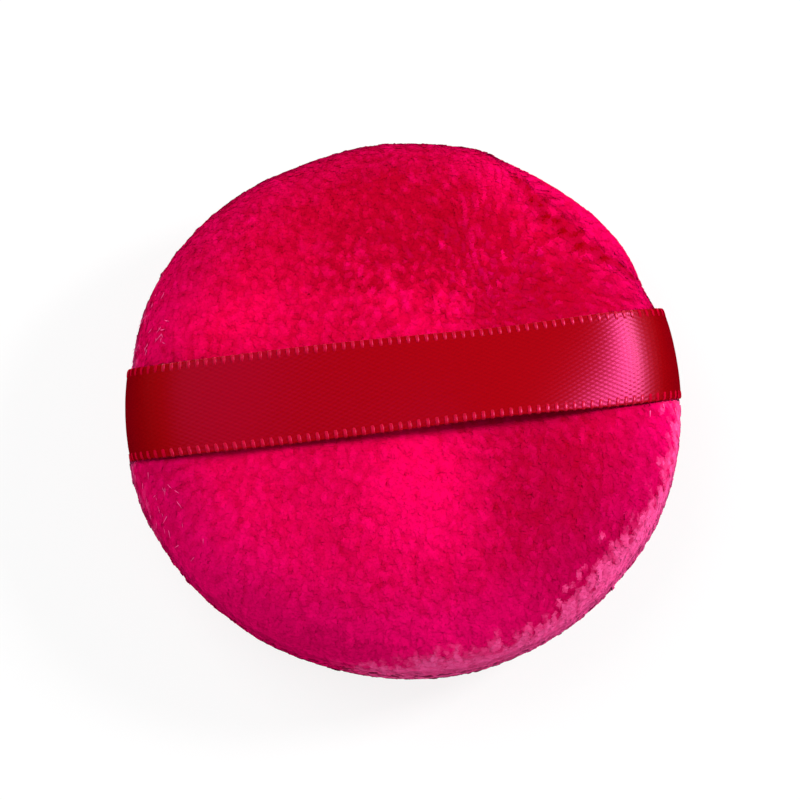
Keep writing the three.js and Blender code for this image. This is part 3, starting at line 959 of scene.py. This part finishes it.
def velour_colours():
    """Group: the nap's tone, with its painted light and shade, on a red and a pink ramp.

    It is painted redder at the roots and darker in hollows, as shade, and paler where painted sheen lies."""
    inputs = ["Tone", "Pink_and_sheen", "Rise", "Painted_sheen"]
    tree, given, result = group("velour_colour", inputs, {"Color": "NodeSocketColor"})
    red = ramp(tree, given.outputs["Tone"], [(0.0, RED_DARK), (1.0, RED_LIGHT)])
    pink = ramp(tree, given.outputs["Tone"], [(0.0, PINK_DARK), (1.0, PINK_LIGHT)])
    tips = mixed(tree, given.outputs["Pink_and_sheen"], red, pink)
    risen = mixed(tree, given.outputs["Rise"], (*ROOT_SHADE, 1), tips)
    hollow = maths(tree, "MULTIPLY_ADD", given.outputs["Tone"], -1.0, DEEP_SHADE_BELOW)
    shaded = mixed(tree, hollow, risen, (*PAINTED_DEEP_SHADE, 1))
    sheen_painted = mixed(tree, given.outputs["Painted_sheen"], shaded, (*PAINTED_SHEEN_COLOUR, 1))
    tree.links.new(sheen_painted, result.inputs["Color"])
    return tree


VELOUR = velour_colours()


def velour(name, rise, sheen):
    """Velour for the ground, which lies at one depth, or for tufts, which rise from root to top."""
    matte = {"Roughness": 1.0, "Specular IOR Level": 0.0}
    soft = {"Sheen Weight": sheen, "Sheen Roughness": SHEEN_ROUGHNESS, "Sheen Tint": SHEEN_TINT}
    tree, shader, material = new_material(name, {**matte, **soft})
    given = {key.capitalize(): attribute(tree, key) for key in ("tone", "pink_and_sheen", "painted_sheen")}
    given["Rise"] = attribute(tree, "rise") if rise is None else rise
    colour = add(tree, "ShaderNodeGroup", given, node_tree=VELOUR)
    tree.links.new(colour.outputs["Color"], shader.inputs["Base Color"])
    return material


ground_velour = velour("velour_ground", GROUND_RISE, GROUND_SHEEN)
pile_velour = velour("velour_pile", None, PILE_SHEEN)
for piece in (front_ground, back_ground):
    piece.data.materials.append(ground_velour)
for piece in (*front_pile, *back_pile, stray_fibres):
    piece.data.materials.append(pile_velour)
print("velour materials:", ground_velour.name, pile_velour.name)

# %% [markdown]
# ## The strap
#
# A satin ribbon runs over the front and round both rims into the seam. It is a flat profile carried
# along the strap's middle line. A ribbon that has been used is never quite flat, so it twists a few
# degrees one way and then the other and bows sideways, while its ends stay where they are sewn.

# %% The strap's middle line
RIBBON_THICKNESS = 0.3
STAND_OFF = 0.675  # from the pile's tips to the ribbon's middle, on top
RIM_STAND_OFF = 0.1  # the same at the rim, where the ribbon is drawn tight
TAIL_SHORT_OF_MARGIN = 0.5
BEND_STEPS, RISE_STEPS = 40, 300
STRAP_POINTS = 480


def strap_line():
    """(length, x, height from the seam) of points evenly along the strap, left tail to right tail."""
    rim, top = PAD_RADIUS + RIM_STAND_OFF, FRONT_RISE + STAND_OFF
    bend = rim - SEAM_RADIUS
    q = np.linspace(-math.pi / 2, 0, BEND_STEPS)
    t = np.linspace(0, math.pi / 2, RISE_STEPS)[1:]
    tail = [MARGIN_RADIUS + TAIL_SHORT_OF_MARGIN]
    x = np.concatenate([tail, SEAM_RADIUS + bend * np.cos(q), rim * np.cos(t) ** (2 / CROWN_POWER)])
    h = np.concatenate([[0], bend + bend * np.sin(q), bend + (top - bend) * np.sin(t) ** (2 / CROWN_POWER)])
    x, h = np.concatenate([-x, x[-2::-1]]), np.concatenate([h, h[-2::-1]])
    length = np.concatenate([[0], np.cumsum(np.hypot(np.diff(x), np.diff(h)))])
    even = np.linspace(0, length[-1], STRAP_POINTS)
    return even, np.interp(even, length, x), np.interp(even, length, h)


STRAP_LENGTH, STRAP_X, STRAP_H = strap_line()
STRAP_HALF = STRAP_LENGTH[-1] / 2
print(f"strap length {STRAP_LENGTH[-1]:.2f} mm with its tails")

# %% The strap's twist, lift and bow
TWISTS = [
    # degrees, x where it is strongest, reach along x
    (5.0, -12.0, 11.0),
    (-6.0, 10.0, 9.0),
    (5.0, 23.0, 6.0),
]
STRAP_LIFT, STRAP_BOW = 0.8, -0.5


def strap_frame(along):
    """Middle points and the across and upward directions of the ribbon at lengths along it.

    The line leans over from its sewn ends, y = off - lean * h. Each twist is a bell curve along x,
    and lift and bow fade towards the ends as 1 - (x / R)^4."""
    x, h = np.interp(along, STRAP_LENGTH, STRAP_X), np.interp(along, STRAP_LENGTH, STRAP_H)
    dx = np.interp(along, STRAP_LENGTH, np.gradient(STRAP_X, STRAP_LENGTH))
    dh = np.interp(along, STRAP_LENGTH, np.gradient(STRAP_H, STRAP_LENGTH))
    free = (1 - np.clip(np.abs(x) / PAD_RADIUS, 0, 1) ** 4) * (h > LIP_HEIGHT)
    twist = sum(math.radians(turn) * np.exp(-(((x - at) / reach) ** 2)) for turn, at, reach in TWISTS)
    twist = twist * smooth_step(LIP_HEIGHT, 2 * LIP_HEIGHT, h)
    up = unit(np.stack([-dh, np.zeros_like(x), dx], axis=-1))
    sideways = np.broadcast_to([0.0, 1.0, 0.0], up.shape)
    middle = np.stack([x, STRAP_OFF_CENTRE - STRAP_LEAN * h + STRAP_BOW * free, SEAM_Z + h], axis=-1)
    middle = middle + up * (STRAP_LIFT * free)[:, None]
    c, s = np.cos(twist)[:, None], np.sin(twist)[:, None]
    return middle, sideways * c + up * s, up * c - sideways * s


def on_strap(along, across, over):
    """Points of the ribbon, drawn in with the pad's round edge: x * sqrt(1 - (y / R)^2)."""
    middle, sideways, up = strap_frame(along)
    point = middle + sideways * across[:, None] + up * over[:, None]
    point[:, 0] *= np.sqrt(1 - (point[:, 1] / PAD_RADIUS) ** 2)
    return point

# %% The ribbon
RIBBON_SIDES = 28
EDGE_POWER, FACE_POWER = 0.6, 0.25  # the profile is an ellipse squared up by these powers
GLOSS_BANDS = 10
GLOSSY_TO, DULL_FROM = 22.8, 28.8  # from the middle: the gloss fades between these


def gloss_band(along):
    """0 where the ribbon has its full gloss, GLOSS_BANDS where it bends over the rim and has none."""
    faded = (np.abs(along) - GLOSSY_TO) / (DULL_FROM - GLOSSY_TO)
    return np.clip(np.ceil(GLOSS_BANDS * faded), 0, GLOSS_BANDS)


def ribbon(name):
    """The profile, a thin flat loop with round edges, carried along the strap. Ends are capped."""
    t = np.linspace(0, 2 * math.pi, 2 * RIBBON_SIDES, endpoint=False)
    across = RIBBON_WIDTH / 2 * np.sign(np.cos(t)) * np.abs(np.cos(t)) ** EDGE_POWER
    over = RIBBON_THICKNESS / 2 * np.sign(np.sin(t)) * np.abs(np.sin(t)) ** FACE_POWER
    count = len(t)
    along = np.repeat(STRAP_LENGTH, count)
    across, over = np.tile(across, STRAP_POINTS), np.tile(over, STRAP_POINTS)
    faces = tube_faces(STRAP_POINTS, count)
    values = {"along": along - STRAP_HALF, "across": across}
    bands = gloss_band(values["along"][np.concatenate([part[:, 0] for part in faces])])
    return piece_from(name, on_strap(along, across, over), faces, values, material=bands)


strap = ribbon("satin_strap")

# %% [markdown]
# ## Selvedge loops
#
# The ribbon's edges are woven with a row of small loops of the weft, which catch the light one by
# one. Each is a short flat cord carried over the edge from the face to the back, and the same few
# faces repeat along both edges.

# %% Loops along both edges
LOOP_PITCH = 0.96
LOOP_WIDTH, LOOP_THICKNESS = 0.40, 0.10
# the cord's path from the face over the edge to the back, and how thick it is on the way
LOOP_OUT = np.array([-0.90, -0.80, -0.50, -0.20, -0.02, 0.02, -0.2, -0.5])
LOOP_OVER = np.array([0.08, 0.14, 0.16, 0.15, 0.08, -0.08, -0.15, -0.1])
LOOP_SWELL = np.array([0.3, 0.8, 1.0, 1.0, 0.95, 0.9, 0.8, 0.3])
LOOP_SIDES = 8
LOOPED_SHORT = 5.0  # the loops that are hidden in the seam are left out


def loops(name):
    """Cords along (LOOP_OUT from the edge, LOOP_OVER the middle), one every LOOP_PITCH, ends capped."""
    count = int((STRAP_LENGTH[-1] - 2 * LOOPED_SHORT) / LOOP_PITCH)
    along = STRAP_HALF + (np.arange(count) - (count - 1) / 2) * LOOP_PITCH
    q = np.arange(LOOP_SIDES) * 2 * math.pi / LOOP_SIDES
    path = np.stack([LOOP_OUT, LOOP_OVER], axis=-1)
    tangent = unit(np.gradient(path, axis=0))
    thick = LOOP_SWELL[:, None] * LOOP_THICKNESS / 2 * np.cos(q)
    shift = LOOP_SWELL[:, None] * LOOP_WIDTH / 2 * np.sin(q)
    out = LOOP_OUT[:, None] - thick * tangent[:, 1:]
    over = LOOP_OVER[:, None] + thick * tangent[:, :1]
    many = np.arange(count)[:, None, None] * out.size
    cord = tube_faces(len(path), LOOP_SIDES)
    points, faces = [], []
    for number, edge in enumerate((-1, 1)):
        across = np.tile((edge * (RIBBON_WIDTH / 2 + out)).ravel(), count)
        lengths = (along[:, None, None] + shift[None]).ravel()
        points.append(on_strap(lengths, across, np.tile(over.ravel(), count)))
        start = number * count * out.size
        for part in cord:
            part = part[:, ::-1] if edge < 0 else part
            faces.append((part[None] + many).reshape(-1, part.shape[1]) + start)
    dull = gloss_band(along - STRAP_HALF) > GLOSS_BANDS / 2
    material = np.concatenate([np.repeat(dull, len(part)) for part in cord] * 2)
    return piece_from(name, np.concatenate(points), faces, material=material)


selvedge = loops("selvedge_loops")

# %% [markdown]
# ## Satin
#
# Satin is smooth because its threads float over several others before they dip. The dips sit on a
# diamond lattice, which is two crossing waves, and they break up the highlight. The gloss of dyed
# silk-like thread is tinted by its dye, so the specular tint is pink. Where the ribbon bends over the
# rim its threads open, and the gloss is lost; there it is also painted darker, as shade where it turns
# away from the light. An exported model keeps one gloss for each material, so the fade is made of
# bands across the ribbon, with one material each.

# %% Satin material
WEAVE_ALONG, WEAVE_ACROSS = 0.98, 0.48
WEAVE_DEPTH = 0.007 * MM
SATIN_DARK, SATIN_LIGHT = (0.28, 0.0003, 0.001), (0.32, 0.0004, 0.0012)
LOOP_COLOUR = (0.46, 0.001, 0.020)
# Painted shade where the ribbon bends over the rim and turns away from the light.
SATIN_BENT_SHADE = (0.17, 0.0001, 0.003)
SATIN_TINT = (1.0, 0.035, 0.42, 1)
SATIN_GLOSS = 0.12
SATIN_ROUGHNESS, BENT_ROUGHNESS = 0.28, 0.9
LOOP_TINT = (1.0, 0.12, 0.5, 1)
LOOP_GLOSS, LOOP_ROUGHNESS = 0.22, 0.36
BENT_FROM, BENT_TO = 24.5, 31.0  # from the middle: the ribbon turns dull, and is painted dark as shade, between these


def satin(name, gloss, tint, roughness):
    """Satin without its weave: tinted gloss on a plain colour."""
    plain = {"Base Color": (*LOOP_COLOUR, 1), "Roughness": roughness}
    return new_material(name, {**plain, "Specular IOR Level": gloss, "Specular Tint": tint})


def woven_satin(name, gloss):
    """Satin with its lattice, (1 + cos x cos y) / 2, as colour and bump, dull where it bends and painted
    dark there as shade.
    """
    tree, shader, material = satin(name, gloss, SATIN_TINT, SATIN_ROUGHNESS)
    along, across = attribute(tree, "along"), attribute(tree, "across")
    x = maths(tree, "COSINE", maths(tree, "MULTIPLY", along, 2 * math.pi / WEAVE_ALONG))
    y = maths(tree, "COSINE", maths(tree, "MULTIPLY", across, 2 * math.pi / WEAVE_ACROSS))
    height = maths(tree, "MULTIPLY_ADD", x, y, 1.0)
    share = maths(tree, "MULTIPLY", height, 0.5)
    woven = mixed(tree, share, (*SATIN_DARK, 1), (*SATIN_LIGHT, 1))
    # Painted shade: the colour darkens where the ribbon bends over the rim.
    reach = {"Value": maths(tree, "ABSOLUTE", along), 1: BENT_FROM, 2: BENT_TO}
    bent = add(tree, "ShaderNodeMapRange", reach, interpolation_type="SMOOTHSTEP").outputs["Result"]
    tree.links.new(mixed(tree, bent, woven, (*SATIN_BENT_SHADE, 1)), shader.inputs["Base Color"])
    dull = maths(tree, "MULTIPLY_ADD", bent, BENT_ROUGHNESS - SATIN_ROUGHNESS, SATIN_ROUGHNESS)
    tree.links.new(dull, shader.inputs["Roughness"])
    bump = add(tree, "ShaderNodeBump", {"Height": height, "Distance": WEAVE_DEPTH, "Strength": 1.0})
    tree.links.new(bump.outputs["Normal"], shader.inputs["Normal"])
    return material


for band in range(GLOSS_BANDS + 1):
    gloss = SATIN_GLOSS * math.cos(math.pi / 2 * band / GLOSS_BANDS) ** 2
    strap.data.materials.append(woven_satin(f"satin_woven_{band}", gloss))
for name, gloss in (("satin_loop", LOOP_GLOSS), ("satin_loop_dull", 0.0)):
    selvedge.data.materials.append(satin(name, gloss, LOOP_TINT, LOOP_ROUGHNESS)[2])
print(f"{len(strap.data.materials)} satins on the ribbon, {len(selvedge.data.materials)} on its loops")

# %% [markdown]
# ## Sponge and thread
#
# The sponge inside is never seen, but it is there: a disc with a rim groove for the seam margins.
# The closing thread is two plies twisted together, carried along a path that whips over the seam.

# %% The sponge
SPONGE_BEARINGS = 96
SPONGE_RINGS = 14
SPONGE_MIDDLE = 0.02  # radius of the small face on the axis
SPONGE_CLEARANCE = 0.95
SPONGE_GROOVE = 3.16  # half of the rim groove's width


def sponge(name):
    """Both crowns of the sponge as rings from the top axis, through the groove, to the lower axis."""
    rings = []
    for side in (1, -1):
        length, r, h = section(side, COVER_THICKNESS + SPONGE_CLEARANCE)
        keep = h > SPONGE_GROOVE
        stops = np.linspace(SPONGE_MIDDLE, length[keep][-1], SPONGE_RINGS)
        r = np.append(np.interp(stops, length, r), MARGIN_RADIUS - SPONGE_CLEARANCE)
        h = np.append(np.interp(stops, length, h), SPONGE_GROOVE)
        half = np.stack([r, side * h], axis=-1)
        rings.append(half if side > 0 else half[::-1])
    profile = np.concatenate(rings)
    bearings = np.arange(SPONGE_BEARINGS) * 2 * math.pi / SPONGE_BEARINGS
    points = around(bearings[None], np.repeat(profile[:, :1], SPONGE_BEARINGS, 1), profile[:, 1:])
    faces = [part[:, ::-1] for part in tube_faces(len(profile), SPONGE_BEARINGS)]
    return piece_from(name, points.reshape(-1, 3), faces)


sponge_disc = sponge("sponge_disc")

# %% The closing thread
THREAD_RADIUS = 0.16
THREAD_STEPS = 8  # points of its curve for each point of its path
THREAD_ASIDE = [0.1, 0.2, 0.97]  # a direction that the path never takes, to turn the plies from
PLY_TURNS_PER_MM = 0.55
PLY_SIDES = 6
WHIP_REACH, WHIP_DEPTH = 0.2, 0.4
WHIP_SUNK = 0.85  # how far below the pile's tips the thread lies


def whip_path():
    """Points of the whipping thread: in past one lip, across behind the fold, out past the other."""
    outside = PAD_RADIUS - WHIP_SUNK
    r = np.array([outside, SEAM_RADIUS - WHIP_DEPTH, outside, outside - WHIP_SUNK])
    h = np.array([1, 0, -1, 0]) * (LIP_HEIGHT + WHIP_REACH)
    bearings = STITCH_BEARINGS[:, None] + np.array([0, 0, 0, 0.5]) * STITCH_PITCH / SEAM_RADIUS
    points = around(bearings, np.broadcast_to(r, bearings.shape), np.broadcast_to(h, bearings.shape))
    return points.reshape(-1, 3)[:-1]


def eased(points, steps):
    """A Catmull-Rom curve through points, with steps between each two."""
    p = np.concatenate([points[:1], points, points[-1:]])
    t = np.linspace(0, 1, steps, endpoint=False)[None, :, None]
    a, b, c, d = (p[k : len(p) - 3 + k, None] for k in range(4))
    curve = b + 0.5 * t * (c - a + t * (2 * a - 5 * b + 4 * c - d + t * (3 * (b - c) + d - a)))
    return np.concatenate([curve.reshape(-1, 3), points[-1:]])


def twisted_thread(name, path, radius):
    """Two round plies, each a ring of points carried along path and offset from it by a helix."""
    along = np.concatenate([[0], np.cumsum(np.linalg.norm(np.diff(path, axis=0), axis=1))])
    tangent = unit(np.gradient(path, axis=0))
    first = unit(np.cross(tangent, THREAD_ASIDE))
    second = np.cross(tangent, first)
    q = np.arange(PLY_SIDES) * 2 * math.pi / PLY_SIDES
    points, faces = [], []
    for ply in range(2):
        phase = 2 * math.pi * PLY_TURNS_PER_MM * along + ply * math.pi
        core = path + radius / 2 * (first * np.cos(phase)[:, None] + second * np.sin(phase)[:, None])
        ring = first[:, None] * np.cos(q)[None, :, None] + second[:, None] * np.sin(q)[None, :, None]
        points.append((core[:, None] + radius / 2 * ring).reshape(-1, 3))
        faces += [part + ply * PLY_SIDES * len(path) for part in tube_faces(len(path), PLY_SIDES)]
    return piece_from(name, np.concatenate(points), faces)


closing = twisted_thread("closing_stitches", eased(whip_path(), THREAD_STEPS), THREAD_RADIUS)

# %% Sponge and thread materials
PORE_DARK, PORE_LIGHT = (0.62, 0.42, 0.44), (0.89, 0.74, 0.76)
PORES_PER_METRE, PORE_DEPTH = 900.0, 0.3 * MM
THREAD_DARK, THREAD_LIGHT = (0.40, 0.0005, 0.015), (0.60, 0.0008, 0.03)
FIBRES_PER_METRE = 6000.0


def sponge_material():
    """Pale sponge: pores from a Voronoi pattern on Object coordinates."""
    tree, shader, material = new_material("sponge", {"Roughness": 0.95})
    place = add(tree, "ShaderNodeTexCoord").outputs["Object"]
    cells = add(tree, "ShaderNodeTexVoronoi", {"Vector": place, "Scale": PORES_PER_METRE})
    pores = cells.outputs["Distance"]
    colour = ramp(tree, pores, [(0.1, PORE_DARK), (0.5, PORE_LIGHT)])
    bump = add(tree, "ShaderNodeBump", {"Height": pores, "Distance": PORE_DEPTH})
    tree.links.new(colour, shader.inputs["Base Color"])
    tree.links.new(bump.outputs["Normal"], shader.inputs["Normal"])
    return material


def thread_material(name):
    """Dyed sewing thread with fibres across it, from fine noise."""
    tree, shader, material = new_material(name, {"Roughness": 0.8, "Specular IOR Level": 0.0})
    place = add(tree, "ShaderNodeTexCoord").outputs["Object"]
    fibres = add(tree, "ShaderNodeTexNoise", {"Vector": place, "Scale": FIBRES_PER_METRE}).outputs["Fac"]
    colour = ramp(tree, fibres, [(0.35, THREAD_DARK), (0.65, THREAD_LIGHT)])
    tree.links.new(colour, shader.inputs["Base Color"])
    return material


sponge_disc.data.materials.append(sponge_material())
closing.data.materials.append(thread_material("closing_thread"))
machine_thread = frame["nodes"]["rim_seam_thread"]
machine_thread.data.materials.clear()
machine_thread.data.materials.append(thread_material("machine_thread"))
print("the packed machine thread keeps its mesh and gets a dyed material")

# %% [markdown]
# ## What each piece rides on
#
# The cloth, pile, sponge and closing thread ride on the pad. The strap and its loops keep their place
# in the model's frame.

# %% Bodies
for piece, node in ((front_ground, "front_cover"), (back_ground, "back_cover"), (sponge_disc, "foam_core")):
    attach(piece, "pad")
    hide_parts(node)
for piece in (*front_pile, *back_pile, stray_fibres):
    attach(piece, "pad")
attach(closing, "pad")
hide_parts("closing_thread")
for piece in (strap, selvedge):
    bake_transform(piece)
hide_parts("ribbon_strap")
print(f"strap laid flat: {RIBBON_WIDTH:.1f} x {STRAP_LENGTH[-1]:.1f} mm")

# %% [markdown]
# ## Stage, light and camera
#
# The photograph looks down steeply, a little from the left. The floor is white to the camera and
# keeps a soft shadow. One large soft light from above shows the cloth, and a smaller one from the
# right and behind puts the highlight on the strap's right shoulder. The lamp beside it adds to that
# gloss alone: velour, which has none, isn't lit by it.

# %% Floor and world
FLOOR_SIZE = 1.5
FLOOR_COLOUR = (0.9, 0.9, 0.9, 1)
SHADOW_SHARE = 0.15  # how much of the light and shade on the floor the camera sees
WORLD_LIGHT = 0.30


def straight_rays(tree):
    """1 for rays from the camera, mirrors and glass, 0 for the rays that light things."""
    light_path = add(tree, "ShaderNodeLightPath")
    names = ("Is Camera Ray", "Is Glossy Ray", "Is Transmission Ray")
    first, second, third = (light_path.outputs[n] for n in names)
    return maths(tree, "MAXIMUM", maths(tree, "MAXIMUM", first, second), third)


def stage_floor():
    """A flat floor that is mostly white to the camera and plain pale to everything else."""
    corners = np.array([[-1, -1, 0], [1, -1, 0], [1, 1, 0], [-1, 1, 0]]) * FLOOR_SIZE / MM
    floor = piece_from("floor", corners, [np.array([[0, 1, 2, 3]])])
    tree, shader, material = new_material("floor", {"Base Color": FLOOR_COLOUR, "Roughness": 1.0})
    seen = straight_rays(tree)
    white = add(tree, "ShaderNodeEmission", {"Color": (1, 1, 1, 1), "Strength": 1.0})
    share = maths(tree, "MULTIPLY", seen, 1 - SHADOW_SHARE)
    mix = add(tree, "ShaderNodeMixShader", {0: share, 1: shader.outputs[0], 2: white.outputs[0]})
    output = tree.nodes["Material Output"]
    tree.links.new(mix.outputs[0], output.inputs["Surface"])
    floor.data.materials.append(material)


def white_world(strength):
    """A world that is white where it is seen and gives even light of a strength elsewhere."""
    world = bpy.data.worlds.new("studio")
    world.use_nodes = True
    bpy.context.scene.world = world
    tree = world.node_tree
    background = tree.nodes["Background"]
    background.inputs["Color"].default_value = (1, 1, 1, 1)
    seen = straight_rays(tree)
    level = maths(tree, "ADD", maths(tree, "MULTIPLY", seen, 1 - strength), strength)
    tree.links.new(level, background.inputs["Strength"])


stage_floor()
white_world(WORLD_LIGHT)
print(f"world light {WORLD_LIGHT}, white to the camera")

# %% Lights and camera
LIGHTS = {
    # direction from the pad, distance, width and power
    "overhead": ((-0.42, 0.34, 0.84), 0.6, 0.45, 2.3),
    "right_key": ((0.82, 0.15, 0.56), 0.6, 0.14, 3.2),
    "right_glint": ((0.80, 0.20, 0.58), 0.6, 0.22, 12.0),
    "left_fill": ((-0.8, -0.3, 0.5), 0.7, 0.3, 0.3),
}
PAD_MIDDLE = np.array([0, 0, SEAM_Z]) * MM
CAMERA_AZIMUTH, CAMERA_ELEVATION = math.radians(-6.85), math.radians(72.5)
CAMERA_DISTANCE = 0.38
FRAME_WIDTH = 84.5 * MM  # what the frame spans at the pad
CAMERA_AIM = np.array([-0.25, 0.9, 0.0]) * MM  # the frame's middle, from the pad's middle


def point_at(thing, place, target):
    """Puts a light or camera at place and turns it to look at target."""
    direction = Vector(target - place)
    thing.location = place
    thing.rotation_euler = direction.to_track_quat("-Z", "Y").to_euler()
    bpy.context.scene.collection.objects.link(thing)


for name, (direction, distance, width, power) in LIGHTS.items():
    lamp = bpy.data.lights.new(name, "AREA")
    lamp.size = width
    lamp.energy = power
    heading = unit(np.array(direction))
    point_at(bpy.data.objects.new(name, lamp), PAD_MIDDLE + distance * heading, PAD_MIDDLE)
bpy.data.objects["right_glint"].visible_diffuse = False  # it only adds to the satin's gloss

camera = bpy.data.objects.new("camera", bpy.data.cameras.new("camera"))
camera.data.sensor_width = 36
camera.data.lens = camera.data.sensor_width * CAMERA_DISTANCE / FRAME_WIDTH
flat = math.cos(CAMERA_ELEVATION)
back = [math.sin(CAMERA_AZIMUTH) * flat, -math.cos(CAMERA_AZIMUTH) * flat, math.sin(CAMERA_ELEVATION)]
point_at(camera, PAD_MIDDLE + CAMERA_AIM + CAMERA_DISTANCE * np.array(back), PAD_MIDDLE + CAMERA_AIM)
bpy.context.scene.camera = camera
bpy.context.scene.view_settings.view_transform = "Standard"
print(f"lens {camera.data.lens:.1f} mm")
